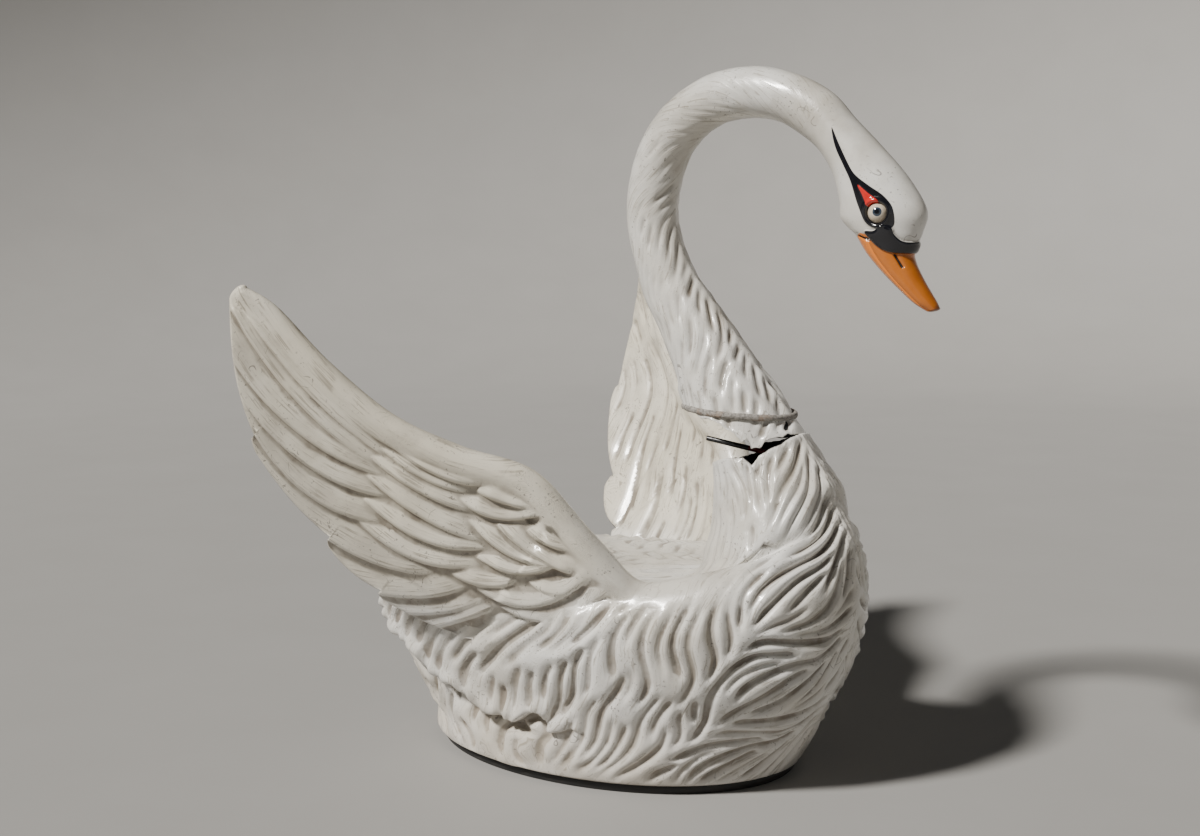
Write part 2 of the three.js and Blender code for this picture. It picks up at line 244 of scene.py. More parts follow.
def outward(points):
    """Unit normals of closed rows of points, away from the middle of each row."""
    around = np.roll(points, -1, axis=1) - np.roll(points, 1, axis=1)
    up = np.gradient(points, axis=0)
    normal = np.cross(around, up)
    return normal / (np.linalg.norm(normal, axis=2, keepdims=True) + 1e-9)


def reach(points):
    """Running lengths across and up a sheet of points."""
    across = np.linalg.norm(np.diff(points, axis=1), axis=2)
    across = np.concatenate([np.zeros((len(points), 1)), np.cumsum(across, axis=1)], axis=1)
    up = np.linalg.norm(np.diff(points, axis=0), axis=2)
    up = np.concatenate([np.zeros((1, points.shape[1])), np.cumsum(up, axis=0)], axis=0)
    return across, up


def both_sides(left, right):
    """Joins two sheets that share their first and last columns."""
    return np.concatenate([left, right[:, -2:0:-1]], axis=1)


def soften(sheet, rounds):
    """Evens out a sheet of numbers over its neighbours."""
    for _ in range(rounds):
        wide = np.pad(sheet, 1, mode="edge")
        sheet = 0.25 * (wide[:-2, 1:-1] + wide[2:, 1:-1] + wide[1:-1, :-2] + wide[1:-1, 2:])
    return sheet


def comb(points, normal, heading, apart, longest, allowed, seed):
    """Cuts furrows down a sheet of points, side by side and each fading out at both ends, so that
    locks of plumage are left between them. The heading is the lean away from straight down, towards
    the last column. Gives heights from 0 in the furrows to 1, and the place across and along the
    furrow, in millimetres."""
    across, up = reach(points)
    rows, columns = across.shape
    per_column = np.maximum(np.gradient(across, axis=1), 0.3)
    per_row = np.maximum(np.gradient(up, axis=0), 0.3)
    chance = np.random.default_rng(seed)
    hop = 8.0
    taken = np.zeros((0, 3))
    furrows = []

    def at(spot):
        i = min(max(int(spot[0]), 0), rows - 2)
        j = min(max(int(spot[1]), 0), columns - 2)
        f = min(max(spot[0] - i, 0), 1)
        g = min(max(spot[1] - j, 0), 1)
        low = points[i, j] * (1 - g) + points[i, j + 1] * g
        high = points[i + 1, j] * (1 - g) + points[i + 1, j + 1] * g
        return low * (1 - f) + high * f, i, j

    def clear(here, i, j, share):
        return not len(taken) or np.min(np.sum((taken - here) ** 2, axis=1)) > (share * apart[i, j]) ** 2

    def grow(spot, way, steps):
        line = []
        for _ in range(steps):
            here, i, j = at(spot)
            lean = heading[i, j]
            ahead = np.array([-math.cos(lean) / per_row[i, j], math.sin(lean) / per_column[i, j]])
            spot = spot + way * hop * ahead
            if not (0 <= spot[0] < rows - 1 and 0 <= spot[1] < columns - 1):
                break
            here, i, j = at(spot)
            if not allowed[i, j] or not clear(here, i, j, 0.45):
                break
            line.append((here, i, j, spot))
        return line

    loose = np.argwhere(allowed)
    loose = [spot.astype(float) for spot in loose[chance.permutation(len(loose))[:5000]]]
    beside = []
    while loose or beside:
        spot = beside.pop(0) if beside else loose.pop()
        if not (0 <= spot[0] < rows - 1 and 0 <= spot[1] < columns - 1):
            continue
        here, i, j = at(spot)
        if not allowed[i, j] or not clear(here, i, j, 0.92):
            continue
        steps = int(longest[i, j] * chance.uniform(0.3, 1.1) / hop / 2)
        line = grow(spot, -1, steps)[::-1] + [(here, i, j, spot)] + grow(spot, 1, steps)
        if len(line) * hop < 3.2 * apart[i, j]:
            continue
        taken = np.concatenate([taken, np.array([step[0] for step in line])])
        furrows.append(line)
        for here, i, j, spot in line[2::5]:
            lean = heading[i, j]
            aside = np.array([math.sin(lean) / per_row[i, j], math.cos(lean) / per_column[i, j]])
            beside += [spot + aside * apart[i, j], spot - aside * apart[i, j]]

    spot, facing, ahead, run, radius, deep, owner = [], [], [], [], [], [], []
    for number, line in enumerate(furrows):
        path = smooth_line(np.array([step[0] for step in line]))
        s = np.linspace(0, 1, len(line))
        length = hop * len(line)
        rise = np.gradient(path, axis=0)
        along_it = hop * np.arange(len(line)) + chance.uniform(0, 300)
        spot.append(path)
        ahead.append(rise / (np.linalg.norm(rise, axis=1, keepdims=True) + 1e-9))
        facing.append(np.array([normal[i, j] for here, i, j, place in line]))
        run.append(along_it)
        radius.append(np.array([apart[i, j] for here, i, j, place in line]) * 0.76)
        fade = smooth(s * length / min(45, 0.3 * length))
        fade = fade * smooth((1 - s) * length / min(65, 0.4 * length))
        deep.append(chance.uniform(0.5, 1.1) * fade * mix(0.75, 1.15, ripple(along_it / 70, seed)))
        owner.append(np.full(len(line), number))
    spot, ahead, facing, owner = (np.concatenate(each) for each in (spot, ahead, facing, owner))
    run, radius, deep = (np.concatenate(each) for each in (run, radius, deep))

    chunk_size = 2500
    side = np.cross(facing, ahead)
    height = np.ones(allowed.shape)
    lay = np.zeros(allowed.shape + (2,))
    flat = points[allowed]
    found = np.zeros((len(flat), 3))
    for first in range(0, len(flat), chunk_size):
        chunk = flat[first:first + chunk_size]
        gap = (chunk**2).sum(1)[:, None] - 2 * (chunk @ spot.T) + (spot**2).sum(1)[None]
        cut = np.zeros(len(chunk))
        for turn in range(2):
            k = np.argmin(gap, axis=1)
            off = chunk - spot[k]
            aside = np.einsum("ij,ij->i", off, side[k])
            forth = np.einsum("ij,ij->i", off, ahead[k])
            away = np.hypot(aside, np.maximum(np.abs(forth) - hop, 0)) / radius[k]
            away = away / np.where(aside > 0, 1.2, 0.85)
            cut = np.maximum(cut, deep[k] * np.clip(1 - away, 0, 1) ** 2)
            if turn == 0:
                nearest = np.stack([aside, run[k] + forth], axis=1)
                gap[owner[None] == owner[k][:, None]] = 1e12
        found[first:first + chunk_size] = np.concatenate([1 - cut[:, None], nearest], axis=1)
    height[allowed] = found[:, 0]
    lay[allowed] = found[:, 1:]
    return soften(height, 1), lay


def smooth_line(line):
    """Takes the corners off a row of points."""
    for _ in range(2):
        line = np.concatenate([line[:1], 0.25 * line[:-2] + 0.5 * line[1:-1] + 0.25 * line[2:], line[-1:]])
    return line


def body_surface(t, angle, grow):
    """Points of the plain body, with the share of its rings and the turn from the breast."""
    mid, fore, aft, half, front, behind, late, flare = np.moveaxis(along(BODY_RINGS, t), -1, 0)
    c = np.cos(angle)
    s = np.sin(angle)
    turn = np.abs(np.arctan2(s, c))
    bulge = flare * np.exp(-(((turn - FLARE_ANGLE) / FLARE_SPREAD) ** 2))
    x = (np.where(c > 0, fore, aft) + grow) * c
    y = (half + grow) * s
    length = np.hypot(x, y)
    stretch = (length + bulge) / length
    rise = np.clip(0.5 * (1 + c), 0, 1) ** late
    return np.stack([mid + x * stretch, y * stretch, behind + (front - behind) * rise], axis=-1)


def body_relief(points, normal, t, turn, seed):
    """Carving of one side of the body: columns run from the breast's middle line to the rear."""
    arc, up = reach(points)
    z = points[..., 2]
    high = smooth((z - 520) / 130)
    flank = smooth((arc - 740) / 220)
    past_breast = smooth((arc - mix(235, 105, high)) / mix(150, 110, high))
    sweep = (36 + mix(38, 12, high) * smooth((arc - 30) / 120)) * (1 - past_breast)
    skirt = smooth((190 - z) / 80) * smooth((z - 26) / 40)
    skirt = skirt * smooth((arc - 150) / 150) * (1 - smooth((arc - 800) / 200))
    rearward = mix(-10, 45, smooth((z - 150) / 150)) * smooth((arc - 450) / 550)
    rearward += 20 * smooth((z - 320) / 120) * smooth((arc - 750) / 250)
    drift = 2.6 * ripple(arc / 150, seed) + 0.7 * ripple(arc / 47, seed + 2)
    wave = 24 * (1 - 0.9 * flank) * (1 - 0.6 * high) * np.sin(up / 37 + arc / 95 + drift)
    heading = np.radians(np.maximum(sweep, 40 * skirt) + rearward + wave)
    back = smooth((turn - 1.1) / 0.5)
    stump = smooth((t - 0.6) / 0.1)
    rim = smooth((turn - 0.5) / 0.35) * smooth((z - 440) / 60) * (1 - stump)
    shown = smooth(t / 0.02) * (1 - back * smooth((t - 0.4) / 0.08) * (1 - stump)) * (1 - 0.9 * rim)
    shown = shown * mix(1, mix(0.75, 0.3, smooth((turn - 1.2) / 0.6)), stump)
    rear = smooth((turn - 1.25) / 0.45) * smooth((520 - z) / 60)
    hem_line = 162 + 205 * smooth((turn - 1.8) / 0.85) + 50 * (ripple(arc / 58, seed) - 0.5)
    below = smooth((hem_line - z) / 10)
    apart = mix(mix(29, 33, smooth((arc - 300) / 200)), 29, high) * mix(1, 1.2, flank)
    flock, lay = comb(points, normal, heading, apart, mix(680, 400, high), shown > 0.03, seed)
    under = (rear * smooth((hem_line + 40 - z) / 9)) > 0.03
    curved = heading + np.radians(48) * np.sin(up / 25 + 0.6 + drift)
    curl, curl_lay = comb(points, normal, curved, 0 * apart + 36, 0 * apart + 220, under, seed + 1)
    height = mix((flock - 0.74) * 23, (curl - 0.66) * 36, rear * below)
    lip = 17 * np.exp(-(((z - hem_line - 16) / 30) ** 2))
    undercut = -40 * np.exp((z - hem_line) / 52)
    height += rear * mix(lip, undercut, below)
    lay = np.where((rear * below > 0.5)[..., None], curl_lay, lay)
    seam = np.exp(-(((arc - 8) / 4) ** 2)) * ripple(z / 9, 3)
    seam = seam + 0.8 * np.exp(-(((arc - 21) / 4) ** 2)) * ripple(z / 13, 5)
    height = height * shown + 4 * seam * smooth((z - 520) / 60) * smooth((t - 0.4) / 0.1)
    x = points[..., 0]
    y = points[..., 1]
    chop = np.sin(x / 9 + 5 * ripple(y / 28, 31))
    chop = chop * ripple(x / 50 + y / 33 + 90, 32)
    height += 6 * chop * smooth((turn - 0.9) / 0.3) * smooth((t - 0.46) / 0.04) * smooth((0.68 - t) / 0.04)
    brushed = np.stack([y + 14 * np.sin(x / 80), x], axis=-1)
    return height, np.where((shown > 0.03)[..., None], lay, brushed)


def break_edge(turn, side):
    """How far the stump's torn edge is below its ring."""
    open_edge = smooth(np.abs(turn) / 0.7)
    teeth = ripple(np.abs(turn) * 9 + 40 * (side > 0), 11) + 0.5 * ripple(np.abs(turn) * 31, 12)
    if side > 0:
        flap = 10 + 26 * smooth((turn - 1.57) / 0.95)
        flap = flap * smooth((turn - 1.1) / 0.4) * smooth((2.25 - turn) / 0.2)
        return 0.8 + open_edge * 3 * teeth - flap
    places, drops = zip(*BREAK_LINE)
    return np.interp(turn, places, drops) + open_edge * 2.5 * teeth


def make_body():
    half = 330
    lower = np.linspace(0, 0.46, 170)
    back = np.linspace(0.463, 0.7, 70)
    stump = np.linspace(0.704, 1, 80)
    rows = np.concatenate([lower, back, stump])
    base = np.linspace(0, math.pi, half + 1)
    turn = base - 0.3 * np.sin(base) * np.cos(base / 2)
    t, angle = np.meshgrid(rows, turn, indexing="ij")
    plain = body_surface(t, angle, 0 * t)
    normal = outward(both_sides(plain, plain * (1, -1, 1)))[:, :half + 1]
    sides, deeps, lays = [], [], []
    for side, seed in ((1, 21), (-1, 63)):
        relief, lay = body_relief(plain, normal, t, angle, seed)
        relief = np.where(t > 0.84, np.maximum(relief, -DEEPEST_IN_SHELL), relief)
        skin = plain + normal * relief[..., None]
        torn = break_edge(angle[-1], side)
        for row in range(TORN_ROWS):
            skin[-1 - row, :, 2] -= (1 - smooth(row / TORN_ROWS)) * torn
        skin[0, :, 2] = FOOT
        skin[:, 0, 1] = 0
        skin[:, -1, 1] = 0
        sides.append(skin * (1, side, 1))
        deeps.append(soften(relief, 30) - relief)
        lays.append(lay)
    outer, deep, lay = (both_sides(left, right) for left, right in (sides, deeps, lays))
    wall = []
    whole = np.concatenate([turn, -turn[-2:0:-1]])
    brim = body_surface(np.ones_like(whole), whole, 0 * whole)
    for k, place in enumerate(np.linspace(1, 0.86, 12)):
        ring = body_surface(np.full_like(whole, place), whole, np.full_like(whole, -SHELL))
        ring[:, 2] += (outer[-1, :, 2] - brim[:, 2]) * (1 - k / 11)
        wall.append(ring)
    wall = np.stack(wall)
    foot = np.broadcast_to(np.array([0, 0, FOOT]), outer[:1].shape)
    floor = np.broadcast_to(wall[-1].mean(axis=0), outer[:1].shape)
    extra = np.zeros((len(wall) + 1, len(whole)))
    marks = {"groove": deep, "across": lay[..., 0], "run": lay[..., 1]}
    for mark, values in marks.items():
        marks[mark] = np.concatenate([values[:1] * 0, values, extra])
    return loft("swan_body", np.concatenate([foot, outer, wall, floor]), marks)


def wing_point(out, height, proud, side):
    """Points of a wing from the step out along it, the height and the distance off its middle face."""
    below = np.maximum(0, WING_ROOT_HEIGHT + WING_RISE * out - height)
    n = proud - WING_CUP * below * below
    x = SHOULDER_X - out * math.cos(WING_SPLAY) + n * math.sin(WING_SPLAY)
    y = side * (SHOULDER_Y + out * math.sin(WING_SPLAY) + n * math.cos(WING_SPLAY))
    return np.stack([x, y, height], axis=-1)


def feather_relief(out, height):
    """Heights of the overlapping feathers, and the place across and along the feather on top."""
    best = 4 + 12 * smooth((300 - out) / 120)
    lay = np.zeros(out.shape + (2,))
    for number, (tip_u, tip_w, root_u, root_w, sag, wide, layer) in enumerate(WING_FEATHERS):
        length = math.hypot(tip_u - root_u, tip_w - root_w)
        du = (tip_u - root_u) / length
        dw = (tip_w - root_w) / length
        s = ((out - root_u) * du + (height - root_w) * dw) / length
        d = (out - root_u) * -dw + (height - root_w) * du + sag * 4 * np.where(s < 0, s, s * (1 - s))
        taper = 1.0 if layer == 0 else np.clip((1 - s) / 0.3, 0, 1) ** 0.7
        q = np.clip(d / (wide * taper + 0.01), 0, 1.3)
        edge = np.sqrt(1 - (1 - np.clip(d / 15, 0, 1)) ** 2)
        profile = edge * (1 - 0.78 * np.minimum(q, 1) ** 1.1)
        held = smooth((s + 0.5) / 0.45) * (1 if layer == 0 else smooth((1 - s) * length / 6))
        buried = 1 if layer > 1 else mix(0.35, 1, smooth(s / 0.4))
        if layer:
            buried = buried * mix(0.5, 1, smooth((1 - s) / 0.35))
        value = 5 * layer + 27 * profile * buried - 27 * (1 - held)
        top = (d > 0) & (q < 1.25) & (s > -0.5) & (value > best)
        best = np.where(top, value, best)
        lay = np.where(top[..., None], np.stack([d, s * length + 400 * number], axis=-1), lay)
    return best, lay


def tongues(out, height):
    """Shallow outlines of an arch and a loop at the foot of the wing's inner face."""
    arch = np.hypot((out - 495) / 34, np.maximum(height - 560, 0) / 62)
    loop = np.hypot((out - 612) / 38, np.minimum(height - 585, 0) / 80)
    return np.exp(-(((arch - 1) * 8) ** 2)) + np.exp(-(((loop - 1) * 8) ** 2)) * smooth((760 - height) / 80)


def make_wing(side):
    place, f, k = [], [], []
    for n, count in enumerate((44, 48, 46, 74, 104)):
        step = np.linspace(0, 1, count)
        shift = 0.004 if n > 1 else 0
        place.append(mix(TIP_PLACES[n] + shift, TIP_PLACES[n + 1], step))
        f.append(step)
        k.append(np.full(count, n))
    place = np.concatenate(place)
    f = np.concatenate(f)
    k = np.concatenate(k)
    tips = np.array(FEATHER_TIPS, float)
    lead = along(LEADING_EDGE, place)
    a = tips[k]
    b = tips[k + 1]
    edge = a + (b - a) * f[:, None]
    aside = np.stack([b[:, 1] - a[:, 1], a[:, 0] - b[:, 0]], axis=1)
    aside /= np.linalg.norm(aside, axis=1, keepdims=True)
    edge += aside * (TRAILING_BOW * np.sin(np.pi * f))[:, None]
    inset = np.where(k > 1, NOTCH * (1 - f) ** 3, 0)
    inset += np.where((k > 0) & (k < 4), 12 * np.clip((f - 0.88) / 0.12, 0, 1) ** 2, 0)
    toward = lead - edge
    chord = np.linalg.norm(toward, axis=1)
    notch = toward / chord[:, None] * inset[:, None]
    nose = np.where(place < 0.3, mix(BOLSTER_AT_ROOT, BOLSTER_AT_WRIST, place / 0.3),
                    mix(BOLSTER_AT_WRIST, BOLSTER_AT_TIP, smooth((place - 0.3) / 0.7)))
    nose = np.minimum(chord * 0.3, nose)[:, None]
    plate = np.minimum(WING_HALF_THICKNESS, nose * 0.6)
    chord = chord[:, None]
    place = place[:, None]

    def half_thickness(c):
        x = c * chord
        front = np.sqrt(np.clip(nose**2 - (nose - np.minimum(x, nose)) ** 2, 0, None))
        past = mix(nose, plate, smooth((x - nose) / (1.6 * nose)))
        past = np.minimum(past, mix(plate, TRAILING_HALF_THICKNESS, c) + past - plate)
        left = np.clip((1 - c) * chord / 14, 0, 1)
        return np.where(x < nose, front, past * np.sqrt(1 - (1 - left) ** 2))

    def place_on(c):
        outer = smooth((c - 0.7) / 0.3)
        u = mix(lead[:, :1], edge[:, :1], c) + notch[:, :1] * outer
        w = mix(lead[:, 1:], edge[:, 1:], c) + notch[:, 1:] * outer
        return u, w

    c_out = (np.linspace(0, 1, 190) ** 1.15)[None, :]
    c_in = (np.linspace(1, 0, 96) ** 1.15)[None, 1:-1]
    u, w = place_on(c_out)
    x = c_out * chord
    band = mix(BAND_AT_WRIST, BAND_AT_TIP, smooth((place - 0.25) / 0.75)) * smooth(place / 0.1 + 0.5)
    blur = mix(30, 7, smooth((place - 0.3) / 0.3))
    feathered = smooth((x - band) / blur + 0.5)
    worn = smooth((1 - c_out) * chord / 9) * smooth((1 - place) / 0.03)
    feathers, lay = feather_relief(u, w)
    carved = soften(mix(4 * smooth(x / band - 0.3), feathers - 15, feathered), 1) * worn
    outside = wing_point(u, w, half_thickness(c_out) + carved, side)
    # The wing's groove depths count 1.8 times, so the grime and painted shade under the feather edges comes
    # out stronger
    deep = 1.8 * (soften(carved, 30) - carved)

    u, w = place_on(c_in)
    x = c_in * chord
    fade = smooth((x - 1.2 * nose) / nose) * smooth((1 - c_in) * chord / 12) * smooth((1 - place) / 0.05)
    under = wing_point(u, w, -half_thickness(c_in), side)
    facing = np.cross(np.gradient(under, axis=1), np.gradient(under, axis=0))
    facing /= np.linalg.norm(facing, axis=2, keepdims=True) + 1e-9
    low = smooth((1000 - w) / 260)
    go_u = mix(-0.75, -0.1, low) + 0.22 * np.sin(w / 55)
    go_w = mix(-0.66, -1.0, low)
    row_u, column_u = np.gradient(u)
    row_w, column_w = np.gradient(w)
    spread = row_u * column_w - row_w * column_u
    spread = np.where(np.abs(spread) < 1e-6, 1e-6, spread)
    by_row = (go_u * column_w - go_w * column_u) / spread * np.hypot(row_u, row_w)
    by_column = (row_u * go_w - row_w * go_u) / spread * np.hypot(column_u, column_w)
    even = np.ones(u.shape)
    heading = np.arctan2(by_column, -by_row)
    flames, flame_lay = comb(under, facing, heading, 52 * even, 620 * even, even > 0, 91)
    hollowed = (14 * (flames - 0.8) - 4 * tongues(u, w)) * fade
    inside = wing_point(u, w, -half_thickness(c_in) - hollowed, side)
    inner_deep = soften(hollowed, 30) - hollowed
    loop = np.concatenate([outside, inside], axis=1)
    marks = {"groove": np.concatenate([deep, inner_deep], axis=1),
             "across": np.concatenate([lay[..., 0], flame_lay[..., 0]], axis=1),
             "run": np.concatenate([lay[..., 1], flame_lay[..., 1]], axis=1)}
    first = np.broadcast_to(loop[0].mean(axis=0), loop[:1].shape)
    cap = round_end(loop, 16)
    for mark, values in marks.items():
        marks[mark] = np.concatenate([values[:1] * 0, values, np.repeat(values[-1:], len(cap), axis=0)])
    return loft("wing", np.concatenate([first, loop, cap]), marks)


def round_end(loop, proud):
    """Rows that close the end of a skin with a rounded cap."""
    middle = loop[-1].mean(axis=0)
    way = middle - loop[-8].mean(axis=0)
    way /= np.linalg.norm(way)
    ring = loop[-1] - middle
    steps = np.radians((15, 30, 45, 60, 75, 90))
    return np.stack([middle + ring * math.cos(f) + way * proud * math.sin(f) for f in steps])


def point_values(piece, name):
    """Three numbers for each point of a mesh."""
    values = np.zeros(len(piece.data.vertices) * 3)
    piece.data.vertices.foreach_get(name, values)
    return values.reshape(-1, 3)


def ease_wing_roots(body):
    """Rounds the corner where each wing's thick edge runs into the shoulder."""
    x, y, z = point_values(body, "co").T * 1000
    group = body.vertex_groups.new(name="wing_roots")
    apart = np.linalg.norm(np.stack([x, np.abs(y), z], axis=1) - WING_ROOT, axis=1)
    held = smooth((WING_ROOT_EASE - apart) / 50)
    for i in np.nonzero(held > 0)[0]:
        group.add([int(i)], float(held[i]), "REPLACE")
    ease = body.modifiers.new("ease", "SMOOTH")
    ease.factor = 0.5
    ease.iterations = 160
    ease.vertex_group = "wing_roots"
    bpy.ops.object.modifier_apply(modifier="ease")
    body.vertex_groups.clear()


def make_swan_body():
    body = make_body()
    for side in (-1, 1):
        wing = make_wing(side)
        join = body.modifiers.new("join", "BOOLEAN")
        join.operation = "UNION"
        join.solver = "MANIFOLD"
        join.object = wing
        bpy.context.view_layer.objects.active = body
        bpy.ops.object.modifier_apply(modifier="join")
        bpy.data.objects.remove(wing)
    ease_wing_roots(body)
    bpy.ops.object.select_all(action="DESELECT")
    body.select_set(True)
    bpy.ops.object.shade_smooth()
    fine = body.copy()
    fine.data = body.data.copy()
    bpy.context.collection.objects.link(fine)
    triangles = sum(len(p.vertices) - 2 for p in body.data.polygons)
    thin = body.modifiers.new("thin", "DECIMATE")
    thin.ratio = min(1, MOST_TRIANGLES / triangles)
    bpy.ops.object.modifier_apply(modifier="thin")
    shading = body.modifiers.new("shading", "DATA_TRANSFER")
    shading.object = fine
    shading.use_loop_data = True
    shading.data_types_loops = {"CUSTOM_NORMAL"}
    shading.loop_mapping = "POLYINTERP_NEAREST"
    bpy.ops.object.modifier_apply(modifier="shading")
    bpy.data.objects.remove(fine)
    mark_hollow(body)
    return body


def mark_hollow(body):
    """Marks the inside of the open stump, which is painted near-black as painted shade."""
    x, y, z = point_values(body, "co").T
    facing_x, facing_y, _ = point_values(body, "normal").T
    inward = (x - 0.45) * facing_x + y * facing_y < 0
    painted_shade_inside = (np.abs(y) < 0.13) & (x > 0.27) & (x < 0.57) & (z > 0.62) & inward
    layer = body.data.attributes.new("painted_shade_inside", "FLOAT", "POINT")
    layer.data.foreach_set("value", painted_shade_inside.astype(float))


def neck_surface(t, angle, grow):
    """Points of the plain neck and head, with the share of their sections and the turn from the nape."""
    mid_x, mid_z, nape_x, nape_z, half = np.moveaxis(along(NECK_SECTIONS, t), -1, 0)[:5]
    k = 1 + grow / np.hypot(nape_x, nape_z)
    x = mid_x + k * nape_x * np.cos(angle)
    y = (half + grow) * np.sin(angle)
    z = mid_z + k * nape_z * np.cos(angle)
    return np.stack([x, y, z], axis=-1)


def patch(x, z, outline):
    """Signed distance to a rounded outline, below zero inside it."""
    corners = np.array(outline, float)
    count = len(corners)
    closed = np.concatenate([corners[-1:], corners, corners[:2]])
    ring = along(closed, np.linspace(1, count + 1, 5 * count) / (count + 2))
    nearest = np.full(x.shape, 1e9)
    inside = np.zeros(x.shape, bool)
    for (ax, az), (bx, bz) in zip(ring, np.roll(ring, -1, axis=0)):
        if math.hypot(bx - ax, bz - az) < 3e-5:
            continue
        nearest = np.minimum(nearest, from_line(x, z, ((ax, az), (bx, bz))))
        if az != bz:
            crosses = (az > z) != (bz > z)
            inside ^= crosses & (x < ax + (z - az) / (bz - az) * (bx - ax))
    return np.where(inside, -nearest, nearest)


def from_line(x, z, ends):
    """Distance to a straight line between two ends."""
    (ax, az), (bx, bz) = ends
    f = np.clip(((x - ax) * (bx - ax) + (z - az) * (bz - az)) / ((bx - ax) ** 2 + (bz - az) ** 2), 0, 1)
    return np.hypot(x - ax - f * (bx - ax), z - az - f * (bz - az))


def neck_strokes(points, normal, stroke, turned, seed):
    """Carving of one side of the neck: columns run from the throat to the nape."""
    across, up = reach(points)
    heading = np.radians(mix(34, 20, smooth((turned + 0.6) / 1.2))) + 0.22 * np.sin(up / 34 + across / 60)
    thin = smooth((4.5 - stroke) / 4)
    apart = mix(25, 17, thin)
    height, lay = comb(points, normal, heading, apart, mix(260, 200, thin), stroke > 0.2, seed)
    return (height - 0.85) * 1.3 * stroke * mix(1.1, 0.5, smooth((turned + 0.75) / 1.5)), lay


def face_relief(x, z, face, rim):
    """Raised lore and red patch, eye sockets, and the lines of the bill."""
    lore = np.clip(1 - patch(x, z, BLACK_LORE), 0, 12) / 12
    relief = 8 * np.sqrt(1 - (1 - lore) ** 2) + 2.5 * smooth((1.5 - patch(x, z, RED_PATCH)) / 4)
    eye_gap = np.hypot(x - EYE_AT[0], z - EYE_AT[2])
    relief += 4.5 * np.exp(-(((eye_gap - 30) / 4.5) ** 2)) - 14 * smooth((26 - eye_gap) / 5)
    on_bill = smooth((4 - patch(x, z, ORANGE_BILL)) / 4)
    relief -= on_bill * 2.8 * np.exp(-(((rim - 0.34) / 0.03) ** 2))
    relief -= on_bill * 6 * np.exp(-((from_line(x, z, NOSTRIL) / 3.2) ** 2))
    relief -= 5 * np.exp(-((from_line(x, z, MOUTH_CORNER) / 3) ** 2))
    return relief * face


def make_neck():
    half = 90
    columns = 2 * half
    neck = np.linspace(0, 0.5, 255)
    crown = np.linspace(0.502, 0.62, 45)
    face = np.linspace(0.622, 1, 225)
    rows = np.concatenate([neck, crown, face])
    angle = math.pi - np.linspace(0, 2 * math.pi, columns, endpoint=False)
    t, a = np.meshgrid(rows, angle, indexing="ij")
    plain = neck_surface(t, a, 0 * t)
    normal = outward(plain)
    from_middle = plain - plain.mean(axis=1, keepdims=True)
    normal *= np.sign(np.einsum("ijk,ijk->ij", normal, from_middle))[..., None]
    stroke = along(NECK_SECTIONS, t)[..., 5]
    turned = np.cos(a)
    carved = rows < 0.56
    strokes = np.zeros_like(t)
    lay = np.zeros(t.shape + (2,))
    part = carved, slice(0, half + 1)
    sides = [neck_strokes(plain[part], normal[part], stroke[part], turned[part], seed) for seed in (41, 57)]
    strokes[carved], lay[carved] = (both_sides(left, right) for left, right in zip(*sides))
    strokes *= smooth(t / 0.012)
    x = plain[..., 0]
    z = plain[..., 2]
    rim = 0.5 * (1 + turned)
    relief = strokes + face_relief(x, z, smooth((t - 0.5) / 0.02), rim)
    relief = np.where(t < 0.1, np.maximum(relief, -DEEPEST_IN_SHELL), relief)
    skin = plain + normal * relief[..., None]
    tear = smooth((math.pi - np.abs(angle)) / 0.5)
    teeth = ripple(angle * 5, 17) + 0.6 * ripple(angle * 17, 18)
    front = smooth((np.abs(angle) - 1.45) / 0.5)
    ragged = 0.8 + tear * (1 + 11 * teeth) * np.where(angle > 0, 1 - 0.95 * front, 1)
    flap = 10 + 26 * smooth((1.83 - angle) / 0.58)
    ragged -= flap * smooth((angle - 1.05) / 0.12) * smooth((2.2 - angle) / 0.4)
    nick = 7 * smooth((0.05 - np.abs(angle + 2.02)) / 0.03)
    ragged += nick - 16 * smooth((0.13 - np.abs(angle + 2.19)) / 0.03)
    fade = 1 - smooth(rows / 0.05)
    kept = np.where(a < 0, 1 - 0.75 * smooth((a + 2.05) / 0.6), 1)
    skin[..., 2] -= BREAK_DIP * np.sin(a) ** 2 * kept * fade[:, None]
    skin[..., 2] += ragged[None, :] * (1 - smooth(rows / 0.018))[:, None]
    wall = []
    for place in np.linspace(0, 0.085, 10):
        ring = neck_surface(np.full(columns, place), angle, np.full(columns, -float(SHELL)))
        ring[:, 2] += (skin[0, :, 2] - plain[0, :, 2]) * (1 - smooth(place / 0.06))
        wall.append(ring)
    wall = np.stack(wall)[::-1]
    start = np.broadcast_to(wall[0].mean(axis=0), wall[:1].shape)
    tip = round_end(skin, 7)
    far = np.where(t > 0.5, 0, 1000)
    black = np.minimum(patch(x, z, EYE_MASK), patch(x, z, BLACK_LORE))
    slit = np.minimum(from_line(x, z, NOSTRIL), from_line(x, z, MOUTH_CORNER))
    marks = {
        "black": (black + far, 999),
        "red": (patch(x, z, RED_PATCH) + far, 999),
        "orange": (patch(x, z, ORANGE_BILL) + far, 999),
        "rim": (rim, 1),
        "slit": (slit + far, 999),
        # The neck's inner wall is painted near-black as painted shade
        "painted_shade_inside": (0 * t, 1),
        "groove": (soften(relief, 16) - relief, 0),
        "across": (lay[..., 0], 0),
        "run": (lay[..., 1], 0),
    }
    for mark, (values, fill) in marks.items():
        before = np.full((len(wall) + 1, columns), float(fill))
        marks[mark] = np.concatenate([before, values, np.repeat(values[-1:], len(tip), axis=0)])
    return loft("swan_neck_and_head", np.concatenate([start, wall, skin, tip]), marks)


